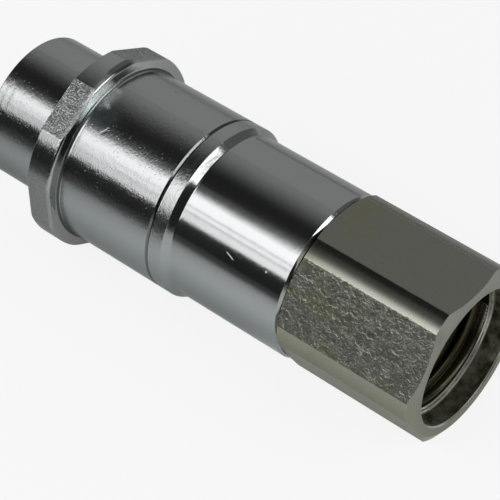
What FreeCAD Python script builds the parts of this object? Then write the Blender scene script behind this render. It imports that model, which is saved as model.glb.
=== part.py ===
"""Screw-to-connect hydraulic quick coupler half: union sleeve, valve body, poppet valve and hex port adapter.

The coupler lies along X. +X points out of the port, +Z is up, and a flat of the port hex faces down.
The origin is on the axis, where the port's thread begins. All sizes are in millimetres.
"""
import FreeCAD, Part
import math
import os

Vector = FreeCAD.Vector

# Outside lengths along the axis, from the nose to the port
nose_len = 20.5
collar_len = 7.5
barrel_len = 28.8
band_len = 3.6
shoulder_bevel_len = 1.9
mid_len = 31.9
adapter_len = 38.5

# Outside diameters and steps
sleeve_d = 45.5
nose_step = 3.85
collar_rise = 3.25
collar_flat_depth = 1.0
collar_flat_deg = 2.3
shoulder_step = 1.4
collar_bevel_deg = 10.0
collar_foot_round = 1.0
collar_edge_round = 1.0
nose_round = 0.4
turned_edge_round = 0.3
shoulder_foot_round = 0.8
sleeve_end_bevel = 0.8
mid_end_bevel = 0.65

# Port adapter: parallel pipe thread, its counterbore and the hex around it
port_thread_d = 33.25
port_thread_len = 19.0
port_wall = 3.875
port_lead_in = 0.7
counterbore_step = 1.0
counterbore_len = 5.3
hex_corner_rise = 1.77
hex_bevel_deg = 30.0
hex_front_land = 0.1
hex_end_land = 0.3
spigot_thread_len = 14.0
spigot_len = 22.0
spigot_wall = 2.4
spigot_bevel = 0.5
port_edge_bevel = 0.3

# Union sleeve inside
nose_wall = 2.3
mouth_bevel = 0.6
sleeve_thread_len = 10.0
relief_depth = 0.4
sleeve_step_inset = 2.6
barrel_wall = 4.45

# Valve body
body_wall = 4.2
spigot_seal_step = 0.65
guide_bore_step = 1.5
guide_ledge = 1.8
plug_setback = 10.8
mating_wall = 4.0
plug_groove_depth = 2.1
plug_groove_wall = 1.1
plug_wall = 2.0
plug_bevel = 1.2
plug_groove_land = 0.7
seat_step = 1.8
flange_room = 3.6
neck_bevel = 0.6
thread_entry_bevel = 0.6
thread_run_out = 1.0
chamber_cone_inset = 1.5

# Poppet valve
retainer_thick = 2.0
retainer_inset = 0.4
retainer_shank_d = 5.0
retainer_shank_len = 5.0
driver_slot_width = 1.6
driver_slot_depth = 1.0
seal_land = 0.6
flange_thick = 3.0
flange_flow_gap = 0.5
stem_d = 7.0
stem_tail = 3.6
spring_wire_d = 1.8
spring_mean_d = 13.4
spring_len = 20.9
spring_turns = 5.5
spring_boss_len = 1.5
washer_thick = 1.0
washer_rim = 0.6

# Valve guide and its fixing
guide_thick = 4.5
guide_hub_front = 5.0
guide_hub_rear = 5.5
guide_arms = 3
guide_arm_width = 5.0
guide_rim = 1.9
bush_wall = 1.1
circlip_thick = 1.2
circlip_width = 2.6
circlip_bite = 1.0
circlip_gap = 9.0
stem_clip_thick = 1.0
stem_clip_bite = 0.7
stem_clip_width = 2.6

# Seals, slide rings and the retaining wire
plug_ring_d = 2.4
backup_thick = 1.3
adapter_ring_d = 1.96
adapter_groove_depth = 1.8
adapter_groove_land = 1.4
slide_ring_width = 4.8
slide_ring_depth = 1.0
slide_ring_gap = 2.0
front_slide_inset = 3.0
rear_slide_inset = 10.0
wiper_d = 1.8
wiper_land = 1.2
wire_d = 2.4
wire_gap = 3.0
wire_inset = 12.5

# Clearances
press_gap = 0.05
seat_gap = 0.15
thread_gap = 0.15
ring_gap = 0.1
running_gap = 0.08
free_gap = 0.3
parting_gap = 0.2

# Radii that follow from the sizes above
sleeve_r = sleeve_d / 2
nose_r = sleeve_r - nose_step
collar_r = sleeve_r + collar_rise
collar_af = 2 * (collar_r - collar_flat_depth)
mid_r = sleeve_r - shoulder_step
port_r = port_thread_d / 2
counterbore_r = port_r + counterbore_step
hex_af = 2 * (port_r + port_wall)
hex_r = hex_af / 2 + hex_corner_rise
spigot_bore_r = mid_r - body_wall
spigot_r = spigot_bore_r - thread_gap
seal_bore_r = spigot_bore_r - spigot_seal_step
seal_land_r = seal_bore_r - free_gap
adapter_groove_r = seal_land_r - adapter_groove_depth
flow_r = adapter_groove_r - spigot_wall
sleeve_bore_r = sleeve_r - barrel_wall
neck_r = sleeve_bore_r - free_gap
guide_bore_r = seal_bore_r - guide_bore_step
chamber_r = guide_bore_r - guide_ledge
sleeve_thread_r = nose_r - nose_wall
relief_r = sleeve_thread_r + relief_depth
plug_r = sleeve_thread_r - mating_wall
plug_groove_r = plug_r - plug_groove_depth
head_bore_r = plug_groove_r - plug_groove_wall
plug_bore_r = plug_r - plug_wall
opening_r = head_bore_r - seat_step
retainer_r = opening_r - free_gap
flange_r = head_bore_r - flange_flow_gap
stem_r = stem_d / 2
bush_r = stem_r + running_gap + bush_wall
spring_inner_r = (spring_mean_d - spring_wire_d) / 2
spring_outer_r = (spring_mean_d + spring_wire_d) / 2
hub_r = spring_inner_r - free_gap
slide_groove_r = neck_r - slide_ring_depth
wire_ring_r = (sleeve_bore_r + neck_r) / 2
wire_room = wire_d / 2 + seat_gap

# Places along the axis, from the port back to the nose
port_face_x = port_lead_in + counterbore_len
body_rear_x = port_face_x - adapter_len
bevel_foot_x = body_rear_x - mid_len
band_rear_x = bevel_foot_x - shoulder_bevel_len
parting_x = band_rear_x - band_len
sleeve_rear_x = parting_x - parting_gap
collar_foot_x = parting_x - barrel_len
collar_front_x = collar_foot_x - collar_len
nose_front_x = collar_front_x - nose_len
sleeve_step_x = collar_front_x + sleeve_step_inset
neck_front_x = sleeve_step_x + free_gap
plug_front_x = nose_front_x + plug_setback
spigot_end_x = body_rear_x - spigot_len
seal_x = plug_front_x + retainer_inset + retainer_thick
flange_front_x = seal_x + flange_r - retainer_r + seal_land
flange_rear_x = flange_front_x + flange_thick
washer_x = flange_rear_x + spring_len
guide_x = washer_x + washer_thick
guide_rear_x = guide_x + guide_thick
hub_front_x = guide_x - guide_hub_front
hub_rear_x = guide_rear_x + guide_hub_rear
stem_clip_x = hub_rear_x + free_gap
stem_end_x = stem_clip_x + stem_tail
circlip_x = guide_rear_x + ring_gap
plug_groove_x = plug_front_x + plug_bevel + plug_groove_land
plug_groove_len = plug_ring_d + backup_thick + 3 * ring_gap
adapter_groove_len = adapter_ring_d + backup_thick + 3 * ring_gap
adapter_groove_x = spigot_end_x + adapter_groove_land
slide_groove_len = slide_ring_width + 2 * ring_gap
front_slide_x = neck_front_x + front_slide_inset
rear_slide_x = parting_x - rear_slide_inset
wire_x = neck_front_x + wire_inset
wiper_groove_len = wiper_d + 6 * ring_gap
wiper_x = parting_x - wiper_land - wiper_groove_len / 2
wiper_groove_r = neck_r - wiper_d


def slope_len(rise, degrees):
    """Axial length of a bevel that rises by so much at this angle to the end face."""
    return rise * math.tan(math.radians(degrees))


def corner_points(before, here, after, rounding):
    """Where the outline enters, passes the middle of and leaves a rounded corner."""
    back = (before - here).normalize()
    ahead = (after - here).normalize()
    half_turn = back.getAngle(ahead) / 2
    reach = rounding / math.tan(half_turn)
    inward = (back + ahead).normalize()
    middle = here + inward * (rounding / math.sin(half_turn) - rounding)
    return here + back * reach, middle, here + ahead * reach


def turned(*corners):
    """Solid of revolution about X; a corner is (x, radius) or (x, radius, rounding)."""
    points = [Vector(corner[0], 0, corner[1]) for corner in corners]
    knots = []
    for i, corner in enumerate(corners):
        here = points[i]
        if len(corner) == 3:
            knots.append(corner_points(points[i - 1], here, points[(i + 1) % len(points)], corner[2]))
        else:
            knots.append((here, None, here))
    edges = []
    for i, (enter, middle, leave) in enumerate(knots):
        if middle:
            edges.append(Part.Arc(enter, middle, leave).toShape())
        edges.append(Part.makeLine(leave, knots[(i + 1) % len(knots)][0]))
    return Part.Face(Part.Wire(edges)).revolve(Vector(0, 0, 0), Vector(1, 0, 0), 360)


def tube(x0, x1, inner_r, outer_r):
    """Ring of rectangular section between two places on the axis."""
    return turned((x0, inner_r), (x0, outer_r), (x1, outer_r), (x1, inner_r))


def groove_from(x, length, inner_r, outer_r):
    """What a groove takes away, from a place on the axis towards the port."""
    return tube(x, x + length, inner_r, outer_r)


def seal_ring(groove_x, groove_r, section_d):
    """Ring of round section, lying in a groove against its front wall and floor."""
    section_r = section_d / 2
    centre = Vector(groove_x + ring_gap + section_r, 0, 0)
    return Part.makeTorus(groove_r + ring_gap + section_r, section_r, centre, Vector(1, 0, 0))


def split(ring, gap, outer_r):
    """Cuts a gap through a ring at its top, so that it can be sprung into its groove."""
    box = ring.BoundBox
    slot = Part.makeBox(box.XLength + 2, gap, outer_r, Vector(box.XMin - 1, -gap / 2, 0))
    return ring.cut(slot)


def hex_waste(across_flats, outer_r, x0, x1, flat_deg):
    """What comes off a round bar to leave six flats, one of them facing flat_deg from +Y towards +Z."""
    corner_r = across_flats / math.sqrt(3)
    angles = [math.radians(flat_deg + 30 + 60 * k) for k in range(6)]
    corners = [Vector(x0, corner_r * math.cos(a), corner_r * math.sin(a)) for a in angles]
    bar = Part.Face(Part.makePolygon(corners + corners[:1])).extrude(Vector(x1 - x0, 0, 0))
    return tube(x0, x1, across_flats / 2 - free_gap, outer_r + free_gap).cut(bar)


def coupling_sleeve():
    """Union nut: smooth nose with the mating thread inside, hex collar and barrel that turns on the neck."""
    bevel = slope_len(collar_rise, collar_bevel_deg)
    thread_end_x = nose_front_x + mouth_bevel + sleeve_thread_len
    blank = turned(
        (nose_front_x, sleeve_thread_r + mouth_bevel),
        (nose_front_x, nose_r, nose_round),
        (collar_front_x, nose_r),
        (collar_front_x, collar_r, nose_round),
        (collar_foot_x - bevel, collar_r, collar_edge_round),
        (collar_foot_x, sleeve_r, collar_foot_round),
        (sleeve_rear_x - sleeve_end_bevel, sleeve_r),
        (sleeve_rear_x, sleeve_r - sleeve_end_bevel),
        (sleeve_rear_x, sleeve_bore_r + neck_bevel),
        (sleeve_rear_x - neck_bevel, sleeve_bore_r),
        (sleeve_step_x, sleeve_bore_r),
        (sleeve_step_x, relief_r),
        (thread_end_x + relief_depth, relief_r),
        (thread_end_x, sleeve_thread_r),
        (nose_front_x + mouth_bevel, sleeve_thread_r),
    )
    flats = hex_waste(collar_af, collar_r, collar_front_x, collar_foot_x, collar_flat_deg)
    wire_groove = groove_from(wire_x - wire_room, 2 * wire_room, neck_r, wire_ring_r + wire_room)
    return blank.cut([flats, wire_groove])


def valve_body():
    """Neck and plug that carry the valve, the band behind the sleeve and the smooth middle length."""
    seat_x = seal_x + seat_gap
    seat_end_x = seat_x + seat_step
    head_room_x = seat_end_x + flange_room
    cone_x = neck_front_x + chamber_cone_inset
    thread_end_x = body_rear_x - spigot_thread_len - thread_run_out
    spigot_room_x = spigot_end_x - free_gap
    blank = turned(
        (plug_front_x, opening_r),
        (plug_front_x, plug_r - plug_bevel / 2),
        (plug_front_x + plug_bevel, plug_r),
        (neck_front_x, plug_r),
        (neck_front_x, neck_r - neck_bevel),
        (neck_front_x + neck_bevel, neck_r),
        (parting_x, neck_r),
        (parting_x, sleeve_r),
        (band_rear_x, sleeve_r, turned_edge_round),
        (bevel_foot_x, mid_r, shoulder_foot_round),
        (body_rear_x - mid_end_bevel, mid_r),
        (body_rear_x, mid_r - mid_end_bevel),
        (body_rear_x, spigot_bore_r + thread_entry_bevel),
        (body_rear_x - thread_entry_bevel, spigot_bore_r),
        (thread_end_x, spigot_bore_r),
        (thread_end_x - spigot_seal_step, seal_bore_r),
        (spigot_room_x, seal_bore_r),
        (spigot_room_x, guide_bore_r),
        (guide_x, guide_bore_r),
        (guide_x, chamber_r),
        (cone_x + chamber_r - plug_bore_r, chamber_r),
        (cone_x, plug_bore_r),
        (head_room_x + plug_bore_r - head_bore_r, plug_bore_r),
        (head_room_x, head_bore_r),
        (seat_end_x, head_bore_r),
        (seat_x, opening_r),
    )
    wiper_groove_x = wiper_x - wiper_groove_len / 2
    circlip_groove_x = circlip_x - ring_gap
    circlip_groove_len = circlip_thick + 2 * ring_gap
    grooves = [
        groove_from(plug_groove_x, plug_groove_len, plug_groove_r, plug_r + free_gap),
        groove_from(front_slide_x, slide_groove_len, slide_groove_r, sleeve_bore_r),
        groove_from(rear_slide_x, slide_groove_len, slide_groove_r, sleeve_bore_r),
        groove_from(wiper_groove_x, wiper_groove_len, wiper_groove_r, sleeve_bore_r),
        groove_from(circlip_groove_x, circlip_groove_len, chamber_r, guide_bore_r + circlip_bite),
        groove_from(wire_x - wire_room, 2 * wire_room, wire_ring_r - wire_room, sleeve_bore_r),
    ]
    return blank.cut(grooves)


def hex_adapter():
    """Hex with turned corners, the port's thread bore and the spigot that screws into the valve body."""
    front_bevel = slope_len(hex_corner_rise + hex_front_land, hex_bevel_deg)
    end_bevel = slope_len(hex_corner_rise + hex_end_land, hex_bevel_deg)
    thread_front_x = body_rear_x - spigot_thread_len
    blank = turned(
        (spigot_end_x, flow_r),
        (spigot_end_x, seal_land_r - spigot_bevel),
        (spigot_end_x + spigot_bevel, seal_land_r),
        (thread_front_x - spigot_r + seal_land_r, seal_land_r),
        (thread_front_x, spigot_r),
        (body_rear_x, spigot_r),
        (body_rear_x, hex_af / 2 - hex_front_land),
        (body_rear_x + front_bevel, hex_r),
        (port_face_x - end_bevel, hex_r),
        (port_face_x, hex_af / 2 - hex_end_land),
        (port_face_x, counterbore_r + port_edge_bevel),
        (port_face_x - port_edge_bevel, counterbore_r),
        (port_lead_in, counterbore_r),
        (port_lead_in, port_r + port_lead_in),
        (0, port_r),
        (-port_thread_len, port_r),
        (-port_thread_len - port_r + flow_r, flow_r),
    )
    flats = hex_waste(hex_af, hex_r, body_rear_x, port_face_x, 90)
    groove = groove_from(adapter_groove_x, adapter_groove_len, adapter_groove_r, seal_bore_r)
    return blank.cut([flats, groove])


def poppet():
    """Valve poppet: sealing flange, spring boss and the stem that slides in the guide."""
    hole_r = retainer_shank_d / 2 + press_gap
    hole_end_x = seal_x + retainer_shank_len + free_gap
    boss_x = flange_rear_x + spring_boss_len
    blank = turned(
        (hole_end_x, 0),
        (hole_end_x, hole_r),
        (flange_front_x, hole_r),
        (flange_front_x, flange_r),
        (flange_rear_x, flange_r),
        (flange_rear_x, hub_r),
        (boss_x, hub_r),
        (boss_x, stem_r),
        (stem_end_x - neck_bevel, stem_r),
        (stem_end_x, stem_r - neck_bevel),
        (stem_end_x, 0),
    )
    clip_groove = tube(stem_clip_x - ring_gap / 2, stem_clip_x + stem_clip_thick + ring_gap / 2,
                       stem_r - stem_clip_bite, stem_r + free_gap)
    return blank.cut(clip_groove)


def poppet_seal():
    """Soft ring with a conical face, clamped on the poppet and closing on the seat."""
    inner_r = retainer_shank_d / 2 + press_gap
    return turned((seal_x, inner_r), (seal_x, retainer_r), (flange_front_x - seal_land, flange_r),
                  (flange_front_x, flange_r), (flange_front_x, inner_r))


def seal_retainer():
    """Slotted screw that clamps the seal and closes the opening flush with the plug."""
    front_x = seal_x - retainer_thick
    shank_r = retainer_shank_d / 2
    shank_end_x = seal_x + retainer_shank_len
    blank = turned((front_x, 0), (front_x, retainer_r - free_gap), (front_x + free_gap, retainer_r),
                   (seal_x, retainer_r), (seal_x, shank_r), (shank_end_x, shank_r), (shank_end_x, 0))
    slot = Part.makeBox(driver_slot_depth, driver_slot_width, 2 * retainer_r,
                        Vector(front_x, -driver_slot_width / 2, -retainer_r))
    return blank.cut(slot)


def valve_spring():
    """Compression spring with flat ground ends, between the poppet flange and its washer."""
    pitch = spring_len / spring_turns
    radius = spring_mean_d / 2
    helix = Part.makeHelix(pitch, spring_len + 2 * pitch, radius)
    section = Part.Wire(Part.makeCircle(spring_wire_d / 2, Vector(radius, 0, 0), Vector(0, 1, 0)))
    coil = Part.Wire(helix).makePipeShell([section], True, True)
    coil.rotate(Vector(0, 0, 0), Vector(0, 1, 0), 90)
    coil.translate(Vector(flange_rear_x - pitch, 0, 0))
    return coil.common(tube(flange_rear_x, washer_x, spring_inner_r - free_gap, spring_outer_r + free_gap))


def spring_washer():
    """Flat seat for the spring on the guide."""
    return tube(washer_x, guide_x, hub_r + ring_gap, spring_outer_r + washer_rim)


def valve_guide():
    """Spider: rim in the body's bore, three arms and the hub that guides the stem."""
    rim_r = guide_bore_r - ring_gap
    window_r = spring_outer_r + washer_rim + ring_gap
    blank = turned((hub_front_x, bush_r + press_gap), (hub_front_x, hub_r), (guide_x, hub_r),
                   (guide_x, rim_r), (guide_rear_x, rim_r), (guide_rear_x, hub_r),
                   (hub_rear_x, hub_r), (hub_rear_x, bush_r + press_gap))
    windows = tube(guide_x, guide_rear_x, window_r, rim_r - guide_rim)
    arm = Part.makeBox(guide_thick, guide_arm_width, rim_r, Vector(guide_x, -guide_arm_width / 2, 0))
    for k in range(guide_arms):
        turned_arm = arm.copy()
        turned_arm.rotate(Vector(0, 0, 0), Vector(1, 0, 0), 360 / guide_arms * k)
        windows = windows.cut(turned_arm)
    return blank.cut(windows)


def guide_bush():
    """Plain bearing for the stem, pressed into the guide's hub."""
    return tube(hub_front_x, hub_rear_x, stem_r + running_gap, bush_r)


def guide_circlip():
    """Circlip that holds the guide on its ledge."""
    outer_r = guide_bore_r + circlip_bite - ring_gap
    ring = tube(circlip_x, circlip_x + circlip_thick, outer_r - circlip_width, outer_r)
    return split(ring, circlip_gap, guide_bore_r + circlip_bite)


def stem_clip():
    """Clip behind the guide that keeps poppet, spring and guide together as one cartridge."""
    outer_r = stem_r + stem_clip_width
    ring = tube(stem_clip_x, stem_clip_x + stem_clip_thick, stem_r - stem_clip_bite + press_gap, outer_r)
    return split(ring, stem_r, outer_r)


def plug_o_ring():
    """Seal of the mated halves, standing a little proud of the plug."""
    return seal_ring(plug_groove_x, plug_groove_r, plug_ring_d)


def plug_backup_ring():
    """Hard ring behind the plug's seal."""
    x0 = plug_groove_x + 2 * ring_gap + plug_ring_d
    return tube(x0, x0 + backup_thick, plug_groove_r + ring_gap, plug_r - ring_gap)


def adapter_o_ring():
    """Seal between the adapter's spigot and the valve body."""
    return seal_ring(adapter_groove_x, adapter_groove_r, adapter_ring_d)


def adapter_backup_ring():
    """Hard ring behind the adapter's seal."""
    x0 = adapter_groove_x + 2 * ring_gap + adapter_ring_d
    return tube(x0, x0 + backup_thick, adapter_groove_r + ring_gap, seal_bore_r - ring_gap)


def slide_ring(groove_x):
    """Split bearing strip on which the sleeve turns."""
    x0 = groove_x + ring_gap
    outer_r = sleeve_bore_r - running_gap
    ring = tube(x0, x0 + slide_ring_width, slide_groove_r + running_gap, outer_r)
    return split(ring, slide_ring_gap, outer_r + free_gap)


def sleeve_wiper():
    """Ring that keeps dirt out of the gap behind the sleeve."""
    return seal_ring(wiper_x - wiper_d / 2 - ring_gap, wiper_groove_r, wiper_d)


def retaining_wire():
    """Round wire, half in the neck and half in the sleeve, that holds the sleeve on."""
    ring = Part.makeTorus(wire_ring_r, wire_d / 2, Vector(wire_x, 0, 0), Vector(1, 0, 0))
    return split(ring, wire_gap, sleeve_r)


pieces = {
    "coupling_sleeve": coupling_sleeve(),
    "retaining_wire": retaining_wire(),
    "slide_ring_front": slide_ring(front_slide_x),
    "slide_ring_rear": slide_ring(rear_slide_x),
    "sleeve_wiper": sleeve_wiper(),
    "valve_body": valve_body(),
    "plug_o_ring": plug_o_ring(),
    "plug_backup_ring": plug_backup_ring(),
    "poppet": poppet(),
    "poppet_seal": poppet_seal(),
    "seal_retainer": seal_retainer(),
    "valve_spring": valve_spring(),
    "spring_washer": spring_washer(),
    "valve_guide": valve_guide(),
    "guide_bush": guide_bush(),
    "guide_circlip": guide_circlip(),
    "stem_clip": stem_clip(),
    "hex_adapter": hex_adapter(),
    "adapter_o_ring": adapter_o_ring(),
    "adapter_backup_ring": adapter_backup_ring(),
}

os.makedirs("parts", exist_ok=True)
for name, shape in pieces.items():
    shape.exportStep("parts/" + name + ".step")
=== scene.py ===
"""Looks of the hydraulic quick coupler: plated finishes, threads, valve spring, floor, light and camera.

The coupler lies along X with its port towards +X. All sizes are in metres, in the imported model's frame.
Angles round the axis count from +Y towards +Z.
"""
import math

import bmesh
import bpy
from mathutils import Matrix, Vector


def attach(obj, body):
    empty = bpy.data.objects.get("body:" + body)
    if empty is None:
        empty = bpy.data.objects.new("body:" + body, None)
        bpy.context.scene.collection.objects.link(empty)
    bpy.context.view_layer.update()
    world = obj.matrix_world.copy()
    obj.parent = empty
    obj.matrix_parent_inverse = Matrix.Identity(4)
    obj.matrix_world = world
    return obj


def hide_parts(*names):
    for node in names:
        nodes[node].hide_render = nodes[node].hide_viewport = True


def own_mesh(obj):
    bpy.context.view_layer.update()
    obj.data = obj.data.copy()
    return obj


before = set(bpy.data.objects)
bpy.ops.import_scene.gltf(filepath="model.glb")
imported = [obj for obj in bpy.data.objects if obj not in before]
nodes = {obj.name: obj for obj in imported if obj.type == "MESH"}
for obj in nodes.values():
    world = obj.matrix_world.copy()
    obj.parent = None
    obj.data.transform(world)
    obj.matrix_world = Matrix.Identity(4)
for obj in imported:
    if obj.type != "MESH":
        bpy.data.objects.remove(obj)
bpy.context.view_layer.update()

# Sizes taken over from the part
nose_front_x = -0.1267
collar_rear_x = -0.1003
collar_half_flats = 0.025
collar_turned_r = 0.026
collar_flat_deg = 2.3
barrel_r = 0.02275
band_front_x = -0.0699
band_rear_x = -0.0663
adapter_half_flats = 0.0205
adapter_flat_deg = 90.0
adapter_end_x = 0.0058
counterbore_r = 0.017625

# Port thread and sleeve thread: where they begin and end, their form, and the turns over which they fade
port_thread_start = 0.0
port_thread_end = -0.0186
port_thread_root_r = 0.016625
port_thread_crest_r = 0.015145
port_thread_pitch = 0.002309
port_thread_fade = 0.6
sleeve_thread_start = -0.1259
sleeve_thread_end = -0.1162
sleeve_thread_root_r = 0.0166
sleeve_thread_crest_r = 0.0155
sleeve_thread_pitch = 0.002
sleeve_thread_fade = 0.5
thread_bury = 0.00003
thread_least_depth = 0.00001
thread_steps_a_turn = 96
# Half widths of a ridge and the room before its first turn, as shares of the pitch
thread_half_base = 0.46
thread_half_crest = 0.10
thread_lead = 0.04
# Its rounded top: half widths of shoulder and crown as shares of the crest's, and the shoulder's depth
thread_shoulder = 1.5
thread_crown = 0.7
thread_shoulder_depth = 0.92

# Valve spring between the poppet's flange and its washer
spring_front_x = -0.1083
spring_seat_x = -0.0874
spring_mean_r = 0.0067
spring_wire_r = 0.0009
spring_turns = 6.5
spring_closed_turns = 1.0
spring_ground_share = 0.35
spring_steps_a_turn = 64
spring_wire_sides = 16

# Zones of the bright plating: a smooth edge is (from, to)
collar_raw_edge = (collar_half_flats - 0.00015, collar_half_flats - 0.00003)
wall_start = (-0.1004, -0.0999)
wall_end = (-0.0986, -0.0984)
wall_inner_r = (barrel_r + 0.0001, barrel_r + 0.0005)
foot_start = (-0.0993, -0.0991)
foot_end = (-0.0975, -0.0973)
foot_inner_r = (barrel_r + 0.00003, barrel_r + 0.0001)
foot_outer_r = (barrel_r + 0.0004, barrel_r + 0.0007)
# The painted shade in the foot is lighter above this height
foot_shade_lighter_above = (0.0195, 0.0215)
# Where the painted dark reflection on the collar's rounded edge begins
wall_dark_reflection_start = (-0.1014, -0.1009)
band_start = (band_front_x - 0.0002, band_front_x)
band_end = (band_rear_x, band_rear_x + 0.0002)
lip_start = (band_front_x - 0.00105, band_front_x - 0.00095)
lip_end = (band_front_x - 0.0001, band_front_x)
older_end = (band_rear_x, band_rear_x + 0.0006)
handled_end = (-0.1240, -0.1205)
nose_groove_x = nose_front_x + 0.002
# Below this height the plating takes a painted tint of the greenish reflection from below
reflection_tint_under_side = (0.002, 0.010)
plating_upper_side = (0.009, 0.015)

# Dark rings near the nose's end, as (x, reach), and the height above which they end
nose_rings = ((-0.1226, 0.0009), (-0.1247, 0.0007))
nose_rings_end = (0.0145, 0.0165)

# Marks on the bright plating: x, angle round the axis, length, width, lean, share that is full
nick_mark = (-0.0923, 123.2, 0.0024, 0.0006, -56, 0.8)
nick_lip_mark = (-0.0927, 121.9, 0.0036, 0.0003, -56, 0.6)
tick_mark = (-0.04865, 149.2, 0.0031, 0.0003, 21, 0.6)
dot_mark = (-0.0386, 146.2, 0.0007, 0.0006, 0, 0.6)
fleck_mark = (-0.0874, 70.3, 0.0009, 0.0005, 30, 0.6)
# Painted highlight: a pale sector of the collar's rear wall, where its turned face catches the light
wall_highlight_mark = (-0.0992, 107.5, 0.0060, 0.0112, 0, 0.5)
# Painted dark reflection: a dark band along the collar's rounded rear edge and upper wall
wall_dark_reflection_mark = (-0.1003, 84.5, 0.0030, 0.0108, 0, 0.65)
film_mark = (-0.0955, 114.5, 0.0130, 0.0100, 0, 0.2)
# The pale patch beside the collar, a painted reflection of its wall on a rougher surface, as marks with
# their strength
wall_reflection_marks = (
    ((-0.0974, 95.4, 0.0046, 0.0024, 0, 0.1), 0.8),
    ((-0.0962, 107.6, 0.0036, 0.0020, 30, 0.1), 0.7),
    ((-0.0979, 102.8, 0.0074, 0.0100, 0, 0.0), 1.0),
)

# Colours of the bright plating
plating_gloss = (0.75, 0.75, 0.75, 1)
plating_darker = (0.338, 0.346, 0.347, 1)
plating_lighter = (0.388, 0.396, 0.397, 1)
# Painted reflection tint on the underside
underside_reflection_tint = (0.343, 0.372, 0.371, 1)
collar_raw_dark = (0.185, 0.19, 0.192, 1)
collar_raw_light = (0.50, 0.51, 0.51, 1)
wall_grey = (0.40, 0.41, 0.40, 1)
# Painted highlight on the collar's rear wall
wall_highlight_pale = (0.68, 0.69, 0.68, 1)
# Painted dark reflection on the collar's rear edge
wall_dark_reflection_grey = (0.11, 0.12, 0.12, 1)
# Painted shade that dims the glint of the sleeve's rear edge
lip_painted_shade = (0.16, 0.165, 0.165, 1)
# Painted shade in the crease where the collar's wall meets the barrel
foot_painted_shade = (0.09, 0.095, 0.095, 1)
dent_grey = (0.14, 0.15, 0.15, 1)
nick_black = (0.05, 0.05, 0.05, 1)
ring_grey = (0.16, 0.19, 0.185, 1)
film_green = (0.27, 0.43, 0.40, 1)
# Pale painted reflection of the collar's wall, beside it
wall_reflection_pale = (0.63, 0.71, 0.70, 1)
# Scuffs, and worn edges that are lighter also as a painted glint
scuff_and_glint_bright = (0.70, 0.72, 0.71, 1)

# Zones of the olive plating
adapter_raw_edge = (adapter_half_flats - 0.00012, adapter_half_flats - 0.00003)
adapter_upper_flat = (adapter_half_flats - 0.002, adapter_half_flats - 0.0004)
# Below this height the adapter takes painted shade
adapter_shaded_under_side = (-0.002, 0.007)
# The port's mouth rim, where a painted highlight runs
port_mouth_r = counterbore_r + 0.00015
port_mouth_start = (adapter_end_x - 0.0003, adapter_end_x)
# Cut edges in the port: bare metal, brightened below as a painted highlight
port_step_x = 0.0007
port_lead_in_x = 0.0001
port_cut_r = (counterbore_r, counterbore_r + 0.0004)
port_cut_highlight_ends_above = (-0.008, 0.002)
port_wall_r = (counterbore_r + 0.00005, counterbore_r + 0.0003)
port_deep_end = (-0.0004, 0.0004)
port_shade_end = (-0.0175, -0.0095)
tinge_end = (-0.026, -0.006)

# Colours of the olive plating
olive_gloss = (0.7, 0.7, 0.7, 1)
olive_darker = (0.265, 0.27, 0.235, 1)
olive_lighter = (0.305, 0.31, 0.27, 1)
# Painted shade, darker and yellower, on the adapter's underside
olive_underside_shade = (0.255, 0.26, 0.18, 1)
adapter_raw_dark = (0.178, 0.183, 0.15, 1)
adapter_raw_light = (0.26, 0.265, 0.228, 1)
adapter_raw_cloud = (0.25, 0.255, 0.225, 1)
tinge_yellow = (0.235, 0.235, 0.155, 1)
port_wall_dark = (0.075, 0.073, 0.040, 1)
port_wall_light = (0.56, 0.55, 0.42, 1)
port_shade_dark = (0.022, 0.021, 0.010, 1)
# Deep in the port: darker passivation and painted shade
port_deep_dark = (0.020, 0.018, 0.005, 1)
port_deep_light = (0.080, 0.073, 0.034, 1)
# Bare metal of worn and cut edges, also a painted highlight on the port's mouth rim and lower cut edges
bare_metal_and_highlight = (0.55, 0.55, 0.5, 1)

# Colours of the pieces inside, darker and lighter
steel_colours = ((0.42, 0.42, 0.41, 1), (0.54, 0.54, 0.53, 1))
wire_colours = ((0.24, 0.24, 0.25, 1), (0.36, 0.36, 0.36, 1))
bronze_colours = ((0.40, 0.25, 0.10, 1), (0.55, 0.36, 0.17, 1))
rubber_colours = ((0.012, 0.012, 0.012, 1), (0.03, 0.03, 0.031, 1))
plastic_colours = ((0.70, 0.69, 0.66, 1), (0.80, 0.80, 0.78, 1))

# Width over which an edge counts as worn and glinting, and how sharply it has to turn
worn_width = 0.0003
worn_turn = (0.01, 0.12)
# Share of the radius in the place of tool rings, so that end faces have them too
lathe_radius_share = 0.7
# Form of the crystals on raw bar: how far their edges wander, in cells, and how soft they are
crystal_wander = 1.6
crystal_smoothness = 0.4
# Where a mark ends towards the far side of the coupler
mark_front = (0.0, 0.001)

# Camera, worked out from the outlines and edges in the photograph
camera_azimuth_deg = 38.316
camera_elevation_deg = 44.815
camera_roll_deg = 1.622
camera_distance = 0.4923
camera_aim = (-0.0551, -0.00292, -0.00299)
camera_lens = 149.1
camera_sensor_width = 36
camera_clip_start = 0.01

# Light: rows of a soft panel on the camera's side, as (name, lowest and highest elevation, level)
panel_rows = (
    ("lowest_row", 20.2, 31.0, 2.12),
    ("low_row", 32.1, 38.4, 2.35),
    ("high_row", 39.5, 53.1, 2.55),
    ("first_edge", 53.0, 55.5, 2.05),
    ("second_edge", 55.5, 58.0, 1.32),
    ("third_edge", 58.0, 60.5, 0.65),
    ("fourth_edge", 60.5, 63.5, 0.24),
    ("last_edge", 63.5, 69.5, 0.11),
)
panel_distance = 1.0
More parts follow.
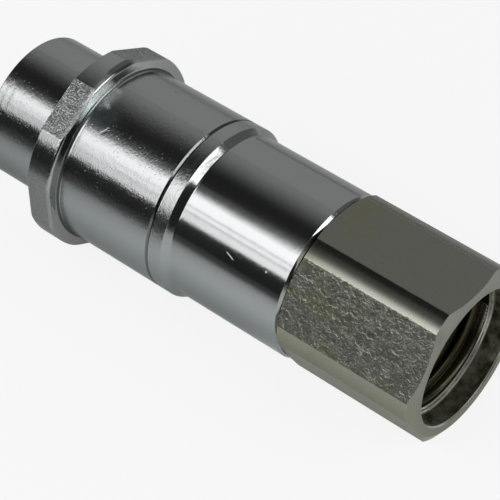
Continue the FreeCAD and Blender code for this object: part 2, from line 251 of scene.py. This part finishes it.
# Its lengths along X, as (name, from, to, share of the level, share of the lowest row's level,
# degrees by which its upper edge stands higher)
panel_spans = (
    ("far", -1.6, -0.72, 0.76, 0.5, 0.0),
    ("middle", -0.72, -0.595, 1.0, 0.72, 0.0),
    ("centre", -0.595, -0.475, 1.0, 1.0, 0.0),
    ("near", -0.475, 0.2, 1.0, 1.0, 4.6),
)
panel_lowest_to = 31.5
panel_upper_from = 45.0
# A panel beyond the port: azimuths from -Y towards +X, elevations and level
side_panel_azimuths = (70.0, 128.0)
side_panel_elevations = (28.0, 54.0)
side_panel_level = 3.2
# The room: its level, that of its back, the share left of it towards the port, and where these begin
room_level = 0.03
room_back_level = 0.46
room_port_share = 0.35
room_back_rise = (-0.04, 0.70)
room_port_rise = (0.0, 0.25)

# Floor: where it fades from pale to grey, how white it is to the eye, and the painted glow that metal
# mirrors in it
floor_size = 6.0
floor_pale = (0.88, 0.9, 0.9, 1)
floor_grey = (0.12, 0.12, 0.12, 1)
floor_roughness = 0.9
floor_fade_centre = (0.02, 0.05)
floor_fade_from = 0.10
floor_fade_to = 0.36
floor_pale_behind = (-0.02, 0.06)
floor_seen_share = 0.85
# The painted glow that metal mirrors: faint under the coupler, stronger ahead of it and under the port,
# weaker towards the nose
floor_mirrored_behind = 0.08
floor_mirrored_ahead = 0.57
floor_ahead_rise = (0.015, 0.06)
floor_nose_loss = 0.2
floor_nose_rise = (0.06, 0.14)
floor_port_glow = 0.32
floor_port_start = (-0.055, -0.035)
floor_port_ahead = (0.018, 0.03)


class Socket:
    """A shader socket that takes part in Python expressions."""

    def __init__(self, tree, output):
        self.tree = tree
        self.output = output

    def other(self, output):
        """Another output of the same node."""
        return Socket(self.tree, self.output.node.outputs[output])

    def maths(self, operation, first, second):
        return self.tree.node("Math", {"operation": operation}, {0: first, 1: second})

    def __add__(self, other):
        return self.maths("ADD", self, other)

    def __radd__(self, other):
        return self.maths("ADD", other, self)

    def __sub__(self, other):
        return self.maths("SUBTRACT", self, other)

    def __rsub__(self, other):
        return self.maths("SUBTRACT", other, self)

    def __mul__(self, other):
        return self.maths("MULTIPLY", self, other)

    def __rmul__(self, other):
        return self.maths("MULTIPLY", other, self)

    def __truediv__(self, other):
        return self.maths("DIVIDE", self, other)

    def __pow__(self, other):
        return self.maths("POWER", self, other)

    def __abs__(self):
        return self.tree.node("Math", {"operation": "ABSOLUTE"}, {0: self})

    def most(self, other):
        return self.maths("MAXIMUM", self, other)

    def least(self, other):
        return self.maths("MINIMUM", self, other)


class Tree:
    """A node tree that makes its nodes and joins them."""

    def __init__(self, node_tree):
        self.node_tree = node_tree

    def node(self, kind, settings=None, sockets=None, output=0):
        """Any node: its settings first, then the values or links of its sockets."""
        made = self.node_tree.nodes.new("ShaderNode" + kind)
        for name, value in (settings or {}).items():
            setattr(made, name, value)
        for key, value in (sockets or {}).items():
            self.join(made.inputs[key], value)
        return Socket(self, made.outputs[output])

    def join(self, socket, value):
        """Links a socket to another one, or sets its value."""
        if isinstance(value, Socket):
            self.node_tree.links.new(value.output, socket)
        else:
            socket.default_value = value

    def rise(self, value, low, high):
        """0 below low and 1 above high, smooth between."""
        return self.node("MapRange", {"interpolation_type": "SMOOTHSTEP"},
                         {"Value": value, "From Min": low, "From Max": high})

    def stretch(self, value, start, end):
        """1 between two smooth edges, each given as (from, to)."""
        return self.rise(value, *start) * (1 - self.rise(value, *end))

    def line(self, value, at, core, reach):
        """1 on a thin line at a value, 0 beyond its reach."""
        return 1 - self.rise(abs(value - at), core, reach)

    def vector(self, x, y, z):
        return self.node("CombineXYZ", None, {0: x, 1: y, 2: z})

    def noise(self, place, scale, detail=2.0, roughness=0.5):
        return self.node("TexNoise", None,
                         {"Vector": place, "Scale": scale, "Detail": detail, "Roughness": roughness})

    def cells(self, place, scale):
        return self.node("TexVoronoi", None, {"Vector": place, "Scale": scale})

    def mix(self, share, first, second):
        """A colour between two colours."""
        return self.node("Mix", {"data_type": "RGBA"}, {0: share, 6: first, 7: second}, 2)

    def bump(self, height, depth, under=None):
        """Surface relief of so many metres, over the relief under it."""
        sockets = {"Height": height, "Distance": depth, "Strength": 1.0}
        if under is not None:
            sockets["Normal"] = under
        return self.node("Bump", None, sockets)


class Finish(Tree):
    """A material with one Principled shader."""

    def __init__(self, name, **constants):
        self.material = bpy.data.materials.new(name)
        self.material.use_nodes = True
        super().__init__(self.material.node_tree)
        self.shader = self.node_tree.nodes["Principled BSDF"]
        for label, value in constants.items():
            self.feed(label, value)
        self.place = self.node("TexCoord", output="Object")
        self.x = self.node("SeparateXYZ", None, {0: self.place})
        self.y = self.x.other(1)
        self.z = self.x.other(2)
        self.from_axis = (self.y * self.y + self.z * self.z) ** 0.5

    def feed(self, label, value):
        """Sets or links a socket of the shader; spaces in its name are written as underscores."""
        self.join(self.shader.inputs[label.replace("_", " ")], value)

    def wear_and_glint(self, width):
        """1 on the outer edges of the piece, 0 away from them."""
        rounded = self.node("Bevel", {"samples": 6}, {"Radius": width})
        plain = self.node("NewGeometry", output="Normal")
        turned = self.node("VectorMath", {"operation": "DOT_PRODUCT"}, {0: rounded, 1: plain}, "Value")
        return self.rise(1 - turned, *worn_turn)

    def flats_reach(self, flat_deg):
        """How far a place lies from the axis, measured square to the nearest of six flats."""
        reach = None
        for k in range(3):
            angle = math.radians(flat_deg + 60 * k)
            along_flat = abs(self.y * math.cos(angle) + self.z * math.sin(angle))
            reach = along_flat if reach is None else reach.most(along_flat)
        return reach

    def crystals(self, scale):
        """Height of small ragged tilted facets, in metres for a slope of about one half."""
        wander = self.node("TexNoise", None, {"Vector": self.place, "Scale": scale, "Detail": 3.0}, "Color")
        spread = crystal_wander / scale
        ragged = self.node("VectorMath", {"operation": "MULTIPLY_ADD"},
                           {0: wander, 1: (spread, spread, spread), 2: self.place})
        facet = self.node("TexVoronoi", {"feature": "SMOOTH_F1"},
                          {"Vector": ragged, "Scale": scale, "Smoothness": crystal_smoothness})
        offset = self.node("VectorMath", {"operation": "SUBTRACT"},
                           {0: ragged, 1: facet.other("Position")})
        tilt = self.node("VectorMath", {"operation": "SUBTRACT"},
                         {0: facet.other("Color"), 1: (0.5, 0.5, 0.5)})
        return self.node("VectorMath", {"operation": "DOT_PRODUCT"}, {0: offset, 1: tilt}, "Value")

    def lathe_place(self, round_scale):
        """A place that changes fast along the turned outline and slowly round the axis."""
        along = self.x + self.from_axis * lathe_radius_share
        return self.vector(along, self.y * round_scale, self.z * round_scale)

    def mark(self, x, angle_deg, length, width, lean_deg, core):
        """1 on a small long mark at a place on a turned surface, 0 away from it; core is its full share."""
        angle = math.radians(angle_deg)
        lean = math.radians(lean_deg)
        along = self.x - x
        across = self.z * math.cos(angle) - self.y * math.sin(angle)
        facing = self.y * math.cos(angle) + self.z * math.sin(angle)
        run = (along * math.cos(lean) + across * math.sin(lean)) / (length / 2)
        side = (across * math.cos(lean) - along * math.sin(lean)) / (width / 2)
        away = (run * run + side * side) ** 0.5
        return (1 - self.rise(away, core, 1.0)) * self.rise(facing, *mark_front)


def bright_zinc():
    """Clear zinc plating: mirror bright on the turned steel, grainy on the raw flats of the collar."""
    zinc = Finish("bright_zinc", Specular_Tint=plating_gloss)
    # Zones: the collar's raw flats, its rear wall and foot, the band, the sleeve's end and the nose's end
    raw = zinc.rise(zinc.flats_reach(collar_flat_deg), *collar_raw_edge)
    wall = zinc.stretch(zinc.x, wall_start, wall_end) * zinc.rise(zinc.from_axis, *wall_inner_r)
    # Painted shade in the foot, the crease where the collar's wall meets the barrel, lighter towards the
    # top
    foot = zinc.stretch(zinc.from_axis, foot_inner_r, foot_outer_r)
    foot = foot * zinc.stretch(zinc.x, foot_start, foot_end)
    foot = foot * (1 - 0.4 * zinc.rise(zinc.z, *foot_shade_lighter_above))
    band = zinc.stretch(zinc.x, band_start, band_end)
    # The sleeve's rear edge, darkened by painted shade that dims its glint
    lip = zinc.stretch(zinc.x, lip_start, lip_end)
    older = 1 - zinc.rise(zinc.x, *older_end)
    handled = 1 - zinc.rise(zinc.x, *handled_end)
    facing = zinc.rise(zinc.z, *plating_upper_side)
    nose_groove = zinc.line(zinc.x, nose_groove_x, core=0.00005, reach=0.00025)
    # Patterns all over the plating
    cloud = zinc.noise(zinc.place, scale=70, detail=3.0)
    streak = zinc.noise(zinc.lathe_place(0.05), scale=1100, detail=3.0)
    tooth = zinc.noise(zinc.lathe_place(0.3), scale=2600, detail=3.0, roughness=0.65)
    wave = zinc.noise(zinc.vector(zinc.x * 0.6, zinc.y, zinc.z), scale=140, detail=1.0)
    ripple = zinc.noise(zinc.vector(zinc.x, zinc.y * 0.6, zinc.z * 0.6), scale=700, detail=2.0)
    feather = zinc.noise(zinc.vector(zinc.x * 0.15, zinc.y, zinc.z), scale=2200, detail=3.0, roughness=0.6)
    grain = zinc.noise(zinc.place, scale=2600, detail=2.0, roughness=0.6)
    dents = zinc.cells(zinc.place, scale=1250)
    chosen = zinc.rise(zinc.node("SeparateColor", None, {0: dents.other("Color")}), 0.52, 0.60)
    dent = (1 - zinc.rise(dents + grain * 0.2, 0.12, 0.36)) * chosen * (0.12 + 0.88 * older)
    # Single marks, wear with edge glints, and painted highlights and reflections
    nick = zinc.mark(*nick_mark)
    nick_lip = zinc.mark(*nick_lip_mark)
    tick = zinc.mark(*tick_mark)
    dot = zinc.mark(*dot_mark)
    fleck = zinc.mark(*fleck_mark)
    # A painted highlight in a sector of the collar's rear wall
    wall_highlight = zinc.mark(*wall_highlight_mark) * wall
    # A painted dark reflection along the collar's rounded rear edge
    wall_dark_reflection = zinc.mark(*wall_dark_reflection_mark) * zinc.rise(zinc.x, *wall_dark_reflection_start)
    # A pale painted reflection of the collar's wall on the barrel, which is rougher there
    wall_reflection_patch = sum(zinc.mark(*place) * strength for place, strength in wall_reflection_marks)
    wall_reflection_patch = wall_reflection_patch.least(1) * (0.4 + 0.6 * zinc.rise(grain * 0.5 + cloud * 0.5, 0.35, 0.62)) * (1 - foot)
    film = zinc.mark(*film_mark) * (0.5 + 0.5 * zinc.rise(cloud, 0.35, 0.6)) * (1 - foot.most(wall))
    rings = sum(zinc.line(zinc.x, at, core=0.0001, reach=reach) for at, reach in nose_rings)
    rings = rings * zinc.rise(ripple, 0.42, 0.6) * (1 - zinc.rise(zinc.z, *nose_rings_end))
    # Worn edges, lighter also as a painted glint along them
    wear_and_glint = zinc.wear_and_glint(worn_width) * zinc.rise(cloud + grain * 0.4, 0.45, 0.75) * (1 - wall.most(lip))
    # Colour
    shade = zinc.mix(cloud, plating_darker, plating_lighter)
    # A painted greenish reflection tint on the underside
    shade = zinc.mix(1 - zinc.rise(zinc.z, *reflection_tint_under_side), shade, underside_reflection_tint)
    speckled = zinc.rise(grain, 0.42, 0.62) * (0.2 + 0.8 * facing) + 0.2 * (1 - facing)
    shade = zinc.mix(raw, shade, zinc.mix(speckled, collar_raw_dark, collar_raw_light))
    shade = zinc.mix(wall, shade, wall_grey)
    # Painted highlight on the collar's rear wall
    shade = zinc.mix(wall_highlight, shade, wall_highlight_pale)
    # Painted dark reflection on the collar's rear edge
    shade = zinc.mix(wall_dark_reflection * 0.9, shade, wall_dark_reflection_grey)
    # Painted shade on the sleeve's rear edge
    shade = zinc.mix(lip, shade, lip_painted_shade)
    # Painted shade in the foot
    shade = zinc.mix(foot, shade, foot_painted_shade)
    shade = zinc.mix(dent * 0.25, shade, dent_grey)
    shade = zinc.mix((nick + fleck).least(1) * 0.8, shade, nick_black)
    shade = zinc.mix(rings * 0.5, shade, ring_grey)
    shade = zinc.mix(film * 0.55, shade, film_green)
    # Painted reflection of the collar's wall
    shade = zinc.mix(wall_reflection_patch, shade, wall_reflection_pale)
    scuffed = tick + dot + nick_lip
    # Scuffs, and worn edges with their painted glint
    shade = zinc.mix((scuffed + wear_and_glint * 0.6).least(1), shade, scuff_and_glint_bright)
    zinc.feed("Base Color", shade)
    # Gloss
    rough = 0.07 + older * 0.01 + handled * 0.02 + streak * 0.06 + cloud * 0.04 + band * streak * 0.12
    rough = rough + raw * 0.16 + wall * 0.03 + foot * 0.2 + wall_reflection_patch * 0.34 + scuffed * 0.3
    zinc.feed("Roughness", rough)
    zinc.feed("Metallic", (1 - wall_reflection_patch * 0.8) * (1 - film * 0.10))
    # Relief, from broad waves to single nicks
    relief = zinc.bump(wave, depth=0.00003)
    relief = zinc.bump(ripple * handled, depth=0.00007, under=relief)
    relief = zinc.bump(feather * older * (1 - raw.most(wall)), depth=0.000009, under=relief)
    relief = zinc.bump(streak, depth=0.0000012, under=relief)
    turning = 0.3 + older * (0.3 + 0.5 * zinc.rise(cloud, 0.38, 0.62)) + band * 0.6
    relief = zinc.bump(tooth * (1 - raw) * turning, depth=0.000055, under=relief)
    relief = zinc.bump(zinc.crystals(2600) * raw * (0.3 + 0.7 * facing), depth=0.22, under=relief)
    relief = zinc.bump(dent * 1.2 + nick + tick + nose_groove * 0.3, depth=-0.00002, under=relief)
    zinc.feed("Normal", relief)
    return zinc.material


def olive_zinc():
    """Darker olive plating: satin where turned, crystalline on the raw flats, dull inside the port."""
    olive = Finish("olive_zinc", Specular_Tint=olive_gloss)
    # Zones: the raw flats, the smoother upper one, and the port's mouth, cut edges, wall and depth
    raw = olive.rise(olive.flats_reach(adapter_flat_deg), *adapter_raw_edge)
    upper = olive.rise(olive.z, *adapter_upper_flat)
    rugged = raw * (1 - upper * 0.8)
    # A painted highlight: a thin bright rim at the port's mouth
    mouth_highlight = olive.line(olive.from_axis, port_mouth_r, core=0.00012, reach=0.00022)
    mouth_highlight = mouth_highlight * olive.rise(olive.x, *port_mouth_start)
    step = olive.line(olive.x, port_step_x, core=0.00012, reach=0.00022)
    lead_in = olive.line(olive.x, port_lead_in_x, core=0.0001, reach=0.0002)
    # Bare cut edges, lit below by a painted highlight that fades above
    cut_edge_and_highlight = step.most(lead_in) * (1 - olive.rise(olive.from_axis, *port_cut_r))
    cut_edge_and_highlight = cut_edge_and_highlight * (1 - 0.9 * olive.rise(olive.z, *port_cut_highlight_ends_above))
    inside = (1 - olive.rise(olive.from_axis, *port_wall_r)) * (1 - cut_edge_and_highlight)
    # Deep in the port, darker passivation and painted shade
    deep = inside * (1 - olive.rise(olive.x, *port_deep_end))
    shaded = 1 - olive.rise(olive.z, *port_shade_end)
    # Painted shade on the adapter's underside, darker and yellower
    underside_shade = 1 - olive.rise(olive.z, *adapter_shaded_under_side)
    # Patterns
    cloud = olive.noise(olive.place, scale=55, detail=3.0)
    blotch = olive.noise(olive.place, scale=260, detail=4.0, roughness=0.6)
    streak = olive.noise(olive.lathe_place(0.05), scale=1100, detail=3.0)
    pit = olive.noise(olive.place, scale=1050, detail=3.0, roughness=0.6)
    patch = olive.noise(olive.place, scale=420, detail=3.0, roughness=0.6)
    patchy = olive.rise(patch, 0.38, 0.62) * (1 - upper) + 0.6 * upper
    tinge = olive.rise(olive.noise(olive.place, scale=130, detail=4.0, roughness=0.65), 0.44, 0.68)
    tinge = tinge * (1 - olive.rise(olive.x, *tinge_end))
    # Worn edges, lighter also as a painted glint along them
    wear_and_glint = olive.wear_and_glint(worn_width) * olive.rise(cloud + blotch * 0.5, 0.5, 0.9)
    # Colour
    shade = olive.mix(cloud, olive_darker, olive_lighter)
    bare = olive.mix(patchy, adapter_raw_dark, adapter_raw_light)
    shade = olive.mix(raw, shade, olive.mix(cloud * 0.4, bare, adapter_raw_cloud))
    shade = olive.mix(tinge * 0.7, shade, tinge_yellow)
    # Painted shade on the underside
    shade = olive.mix(underside_shade * 0.5, shade, olive_underside_shade)
    dull = olive.mix(olive.rise(blotch, 0.35, 0.7), port_wall_dark, port_wall_light)
    shade = olive.mix(inside, shade, olive.mix(shaded * 0.6, dull, port_shade_dark))
    shade = olive.mix(deep, shade, olive.mix(blotch, port_deep_dark, port_deep_light))
    # Bare metal and painted highlights on worn edges, the mouth rim and the cut edges
    shade = olive.mix((wear_and_glint * 0.6 + mouth_highlight * 0.8 + cut_edge_and_highlight).least(1), shade, bare_metal_and_highlight)
    olive.feed("Base Color", shade)
    # Gloss
    olive.feed("Metallic", 1 - inside * 0.42 - cut_edge_and_highlight * 0.5)
    olive.feed("Roughness", 0.11 + streak * 0.06 + raw * 0.19 + inside * 0.14)
    # Relief
    relief = olive.bump(streak, depth=0.0000015)
    relief = olive.bump((pit - 0.5) * rugged, depth=0.00004, under=relief)
    crystal = olive.crystals(1000) * 0.75 + olive.crystals(540) * 0.7
    relief = olive.bump(crystal * rugged, depth=0.105, under=relief)
    olive.feed("Normal", relief)
    return olive.material


def machined_steel():
    """Plain turned steel with fine tool rings."""
    steel = Finish("machined_steel", Metallic=1.0)
    streak = steel.noise(steel.lathe_place(0.04), scale=1600, detail=3.0)
    cloud = steel.noise(steel.place, scale=140, detail=2.0)
    steel.feed("Base Color", steel.mix(cloud, *steel_colours))
    steel.feed("Roughness", 0.18 + streak * 0.18)
    steel.feed("Normal", steel.bump(streak, depth=0.000002))
    return steel.material


def spring_steel():
    """Drawn wire: darker grey steel with a slight oily sheen."""
    steel = Finish("spring_steel", Metallic=1.0)
    drawn = steel.noise(steel.place, scale=900, detail=3.0)
    cloud = steel.noise(steel.place, scale=160, detail=2.0)
    steel.feed("Base Color", steel.mix(cloud, *wire_colours))
    steel.feed("Roughness", 0.22 + drawn * 0.2)
    steel.feed("Normal", steel.bump(drawn, depth=0.000003))
    return steel.material


def bronze():
    """Sintered bearing bronze with open pores."""
    metal = Finish("bronze", Metallic=1.0)
    pores = metal.cells(metal.place, scale=2600)
    cloud = metal.noise(metal.place, scale=220, detail=3.0)
    metal.feed("Base Color", metal.mix(cloud, *bronze_colours))
    metal.feed("Roughness", 0.34 + cloud * 0.15)
    metal.feed("Normal", metal.bump(metal.rise(pores, 0.1, 0.45), depth=0.00001))
    return metal.material


def black_rubber():
    """Moulded seal rubber, slightly oiled."""
    rubber = Finish("black_rubber")
    cloud = rubber.noise(rubber.place, scale=300, detail=3.0)
    skin = rubber.noise(rubber.place, scale=2400, detail=3.0)
    rubber.feed("Base Color", rubber.mix(cloud, *rubber_colours))
    rubber.feed("Roughness", 0.38 + cloud * 0.2)
    rubber.feed("Normal", rubber.bump(skin, depth=0.000006))
    return rubber.material


def white_plastic():
    """Skived white bearing plastic with faint cut lines."""
    plastic = Finish("white_plastic")
    cut = plastic.noise(plastic.lathe_place(0.05), scale=1300, detail=2.0)
    cloud = plastic.noise(plastic.place, scale=180, detail=2.0)
    plastic.feed("Base Color", plastic.mix(cloud, *plastic_colours))
    plastic.feed("Roughness", 0.42 + cut * 0.15)
    plastic.feed("Normal", plastic.bump(cut, depth=0.000004))
    return plastic.material


def made_piece(name, mesh, finish):
    """Turns a bmesh into an object with its finish."""
    data = bpy.data.meshes.new(name)
    mesh.to_mesh(data)
    mesh.free()
    data.materials.append(finish)
    made = bpy.data.objects.new(name, data)
    bpy.context.scene.collection.objects.link(made)
    return made


def smooth_piece(name, mesh, finish):
    """Turns a bmesh into a smoothly shaded object, with its faces turned outwards."""
    bmesh.ops.recalc_face_normals(mesh, faces=mesh.faces[:])
    for face in mesh.faces:
        face.smooth = True
    return made_piece(name, mesh, finish)


def swept(rings):
    """Closed skin over a row of rings of points, with both ends capped."""
    mesh = bmesh.new()
    rows = [[mesh.verts.new(point) for point in ring] for ring in rings]
    for before, after in zip(rows, rows[1:]):
        for i in range(len(before)):
            j = (i + 1) % len(before)
            mesh.faces.new((before[i], before[j], after[j], after[i]))
    mesh.faces.new(rows[0])
    mesh.faces.new(rows[-1])
    return mesh


def cut_thread(name, start_x, end_x, root_r, crest_r, pitch, fade_turns, finish):
    """Ridge of a right-hand inside thread, standing inwards from its bore and fading out at both ends."""
    turns = abs(end_x - start_x) / pitch - 1
    steps = int(turns * thread_steps_a_turn)
    half_base = pitch * thread_half_base
    half_crest = pitch * thread_half_crest
    shoulder = half_crest * thread_shoulder
    crown = half_crest * thread_crown
    way = 1 if end_x > start_x else -1
    rings = []
    for i in range(steps + 1):
        turn = turns * i / steps
        centre_x = start_x + way * (half_base + thread_lead * pitch + turn * pitch)
        height = min(1, turn / fade_turns, (turns - turn) / fade_turns)
        height = height * height * (3 - 2 * height)
        depth = (root_r - crest_r) * height + thread_least_depth
        shoulder_depth = depth * thread_shoulder_depth
        outline = [(-half_base, -thread_bury), (-half_base, 0.0), (-shoulder, shoulder_depth),
                   (-crown, depth), (crown, depth), (shoulder, shoulder_depth),
                   (half_base, 0.0), (half_base, -thread_bury)]
        angle = way * 2 * math.pi * turn
        ring = []
        for offset, inwards in outline:
            radius = root_r - inwards
            ring.append((centre_x + offset, radius * math.cos(angle), radius * math.sin(angle)))
        rings.append(ring)
    return smooth_piece(name, swept(rings), finish)


def coil_spring(finish):
    """Compression spring with closed ends, ground flat."""
    steps = int(spring_turns * spring_steps_a_turn)
    half_length = (spring_seat_x - spring_front_x) / 2
    wire = 2 * spring_wire_r
    ground = spring_ground_share * spring_wire_r
    open_length = half_length - wire * spring_closed_turns - ground
    open_pitch = open_length / (spring_turns / 2 - spring_closed_turns)
    rings = []
    for i in range(steps + 1):
        turn = spring_turns * i / steps
        from_end = min(turn, spring_turns - turn)
        closed = wire * min(from_end, spring_closed_turns)
        reach = ground + closed + open_pitch * max(0, from_end - spring_closed_turns)
        centre_x = spring_front_x + reach if turn < spring_turns / 2 else spring_seat_x - reach
        angle = 2 * math.pi * turn
        ring = []
        for k in range(spring_wire_sides):
            round_wire = 2 * math.pi * k / spring_wire_sides
            radius = spring_mean_r + spring_wire_r * math.cos(round_wire)
            x = centre_x + spring_wire_r * math.sin(round_wire)
            x = max(spring_front_x, min(spring_seat_x, x))
            ring.append((x, radius * math.cos(angle), radius * math.sin(angle)))
        rings.append(ring)
    return smooth_piece("closing_spring", swept(rings), finish)


def dress(finish, *names):
    """Gives CAD nodes their finish."""
    for name in names:
        slots = nodes[name].data.materials
        slots.clear()
        slots.append(finish)


def pale_floor():
    """Pale floor that keeps the shadow, lies along collar and adapter, and fades away from them."""
    finish = bpy.data.materials.new("pale_floor")
    finish.use_nodes = True
    tree = Tree(finish.node_tree)
    spot_x = tree.node("SeparateXYZ", None, {0: tree.node("NewGeometry", output="Position")})
    spot_y = spot_x.other(1)
    aside = spot_x - floor_fade_centre[0]
    ahead = (spot_y - floor_fade_centre[1]).least(0)
    away = (aside * aside + ahead * ahead) ** 0.5
    faded = tree.rise(away, floor_fade_from, floor_fade_to) * (1 - tree.rise(spot_y, *floor_pale_behind))
    shader = finish.node_tree.nodes["Principled BSDF"]
    tree.join(shader.inputs["Base Color"], tree.mix(faded, floor_pale, floor_grey))
    shader.inputs["Roughness"].default_value = floor_roughness
    shader.inputs["Specular IOR Level"].default_value = 0.0
    # White to the eye; to the metal that mirrors it, a painted glow, faint under the coupler and stronger
    # ahead of it and under the port
    ray = tree.node("LightPath", output="Is Camera Ray")
    seen = ray.most(ray.other("Is Transmission Ray"))
    white_seen = seen * (floor_seen_share + (1 - floor_seen_share) * faded)
    nearer = 0 - spot_y
    mirrored = floor_mirrored_behind + floor_mirrored_ahead * tree.rise(nearer, *floor_ahead_rise)
    mirrored = mirrored * (1 - floor_nose_loss * tree.rise(0 - spot_x, *floor_nose_rise))
    under_port = tree.rise(spot_x, *floor_port_start) * (1 - tree.rise(nearer, *floor_port_ahead))
    mirrored = mirrored + floor_port_glow * under_port
    white_mirrored = ray.other("Is Glossy Ray") * mirrored * (1 - faded)
    white = tree.node("Emission", None, {"Color": (1, 1, 1, 1), "Strength": 1.0})
    lit = Socket(tree, shader.outputs[0])
    both = tree.node("MixShader", None, {0: white_seen.most(white_mirrored), 1: lit, 2: white})
    tree.join(finish.node_tree.nodes["Material Output"].inputs["Surface"], both)
    # A square that leans so that it touches the collar and the adapter
    front = Vector((collar_rear_x, 0, -collar_turned_r))
    rear = Vector((adapter_end_x, 0, -adapter_half_flats))
    lean = math.atan2(rear.z - front.z, rear.x - front.x)
    mesh = bmesh.new()
    half = floor_size / 2
    corners = [(-half, -half), (half, -half), (half, half), (-half, half)]
    mesh.faces.new([mesh.verts.new((x, y, 0)) for x, y in corners])
    floor = made_piece("floor", mesh, finish)
    floor.matrix_world = Matrix.Translation(front) @ Matrix.Rotation(-lean, 4, "Y")


def light_panel(name, centre, right, width, height, level):
    """A soft rectangle of light at a place, facing the coupler."""
    lamp = bpy.data.lights.new(name, "AREA")
    lamp.shape = "RECTANGLE"
    lamp.size = width
    lamp.size_y = height
    lamp.energy = level * math.pi * width * height
    panel = bpy.data.objects.new(name, lamp)
    bpy.context.scene.collection.objects.link(panel)
    back = (centre - right * centre.dot(right)).normalized()
    up = back.cross(right)
    panel.matrix_world = Matrix.Translation(centre) @ Matrix((right, up, back)).transposed().to_4x4()


def studio_light():
    """Rows of panel on the camera's side, a panel beyond the port, and a room that lightens to its back."""
    for span_name, start, end, upper_share, lowest_share, raised in panel_spans:
        for row_name, low, high, level in panel_rows:
            share = lowest_share if high < panel_lowest_to else upper_share
            low, high = [edge + raised if edge > panel_upper_from else edge for edge in (low, high)]
            lift = math.radians((low + high) / 2)
            height = 2 * panel_distance * math.tan(math.radians(high - low) / 2)
            outwards = Vector((0, -math.cos(lift), math.sin(lift)))
            centre = outwards * panel_distance + Vector(((start + end) / 2, 0, 0))
            name = span_name + "_" + row_name
            light_panel(name, centre, Vector((1, 0, 0)), end - start, height, level * share)
    around = math.radians(sum(side_panel_azimuths) / 2)
    lift = math.radians(sum(side_panel_elevations) / 2)
    half_width = math.radians(side_panel_azimuths[1] - side_panel_azimuths[0]) / 2
    half_height = math.radians(side_panel_elevations[1] - side_panel_elevations[0]) / 2
    centre = Vector((math.sin(around) * math.cos(lift), -math.cos(around) * math.cos(lift), math.sin(lift)))
    along = Vector((math.cos(around), math.sin(around), 0))
    width = 2 * math.cos(lift) * math.tan(half_width)
    height = 2 * math.tan(half_height)
    light_panel("side_panel", centre, along, width, height, side_panel_level)
    world = bpy.data.worlds.new("studio")
    world.use_nodes = True
    bpy.context.scene.world = world
    tree = Tree(world.node_tree)
    towards_x = tree.node("SeparateXYZ", None, {0: tree.node("TexCoord", output="Generated")})
    port_loss = (1 - room_port_share) * tree.rise(towards_x, *room_port_rise)
    back_share = tree.rise(towards_x.other(1), *room_back_rise) * (1 - port_loss)
    level = room_level + (room_back_level - room_level) * back_share
    seen = tree.node("LightPath", output="Is Camera Ray")
    level = level + (1 - level) * seen
    background = world.node_tree.nodes["Background"]
    tree.join(background.inputs["Color"], tree.node("CombineColor", None, {0: level, 1: level, 2: level}))


def photo_camera():
    """Camera at the photograph's place, with its small roll."""
    azimuth = math.radians(camera_azimuth_deg)
    elevation = math.radians(camera_elevation_deg)
    roll = math.radians(camera_roll_deg)
    back = Vector((math.sin(azimuth) * math.cos(elevation), -math.cos(azimuth) * math.cos(elevation),
                   math.sin(elevation)))
    level_right = Vector((math.cos(azimuth), math.sin(azimuth), 0))
    level_up = back.cross(level_right)
    right = level_right * math.cos(roll) + level_up * math.sin(roll)
    up = level_up * math.cos(roll) - level_right * math.sin(roll)
    lens = bpy.data.cameras.new("photo_camera")
    lens.lens = camera_lens
    lens.sensor_width = camera_sensor_width
    lens.clip_start = camera_clip_start
    camera = bpy.data.objects.new("photo_camera", lens)
    bpy.context.scene.collection.objects.link(camera)
    turn = Matrix((right, up, back)).transposed().to_4x4()
    camera.matrix_world = Matrix.Translation(Vector(camera_aim) + back * camera_distance) @ turn
    bpy.context.scene.camera = camera


zinc_finish = bright_zinc()
olive_finish = olive_zinc()
steel_finish = machined_steel()
wire_finish = spring_steel()
rubber_finish = black_rubber()
plastic_finish = white_plastic()
bronze_finish = bronze()

dress(zinc_finish, "coupling_sleeve", "valve_body")
dress(olive_finish, "hex_adapter")
dress(steel_finish, "poppet", "seal_retainer", "valve_guide")
dress(wire_finish, "retaining_wire", "guide_circlip", "stem_clip", "spring_washer", "valve_spring")
dress(rubber_finish, "plug_o_ring", "adapter_o_ring", "sleeve_wiper", "poppet_seal")
dress(plastic_finish, "plug_backup_ring", "adapter_backup_ring", "slide_ring_front", "slide_ring_rear")
dress(bronze_finish, "guide_bush")

port_thread = cut_thread("port_thread", port_thread_start, port_thread_end, port_thread_root_r,
                         port_thread_crest_r, port_thread_pitch, port_thread_fade, olive_finish)
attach(port_thread, "body")

sleeve_thread = cut_thread("sleeve_thread", sleeve_thread_start, sleeve_thread_end, sleeve_thread_root_r,
                           sleeve_thread_crest_r, sleeve_thread_pitch, sleeve_thread_fade, zinc_finish)
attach(sleeve_thread, "sleeve")

closing_spring = coil_spring(wire_finish)
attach(closing_spring, "body")
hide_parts("valve_spring")
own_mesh(closing_spring)

pale_floor()
studio_light()
photo_camera()
bpy.context.scene.view_settings.view_transform = "Standard"
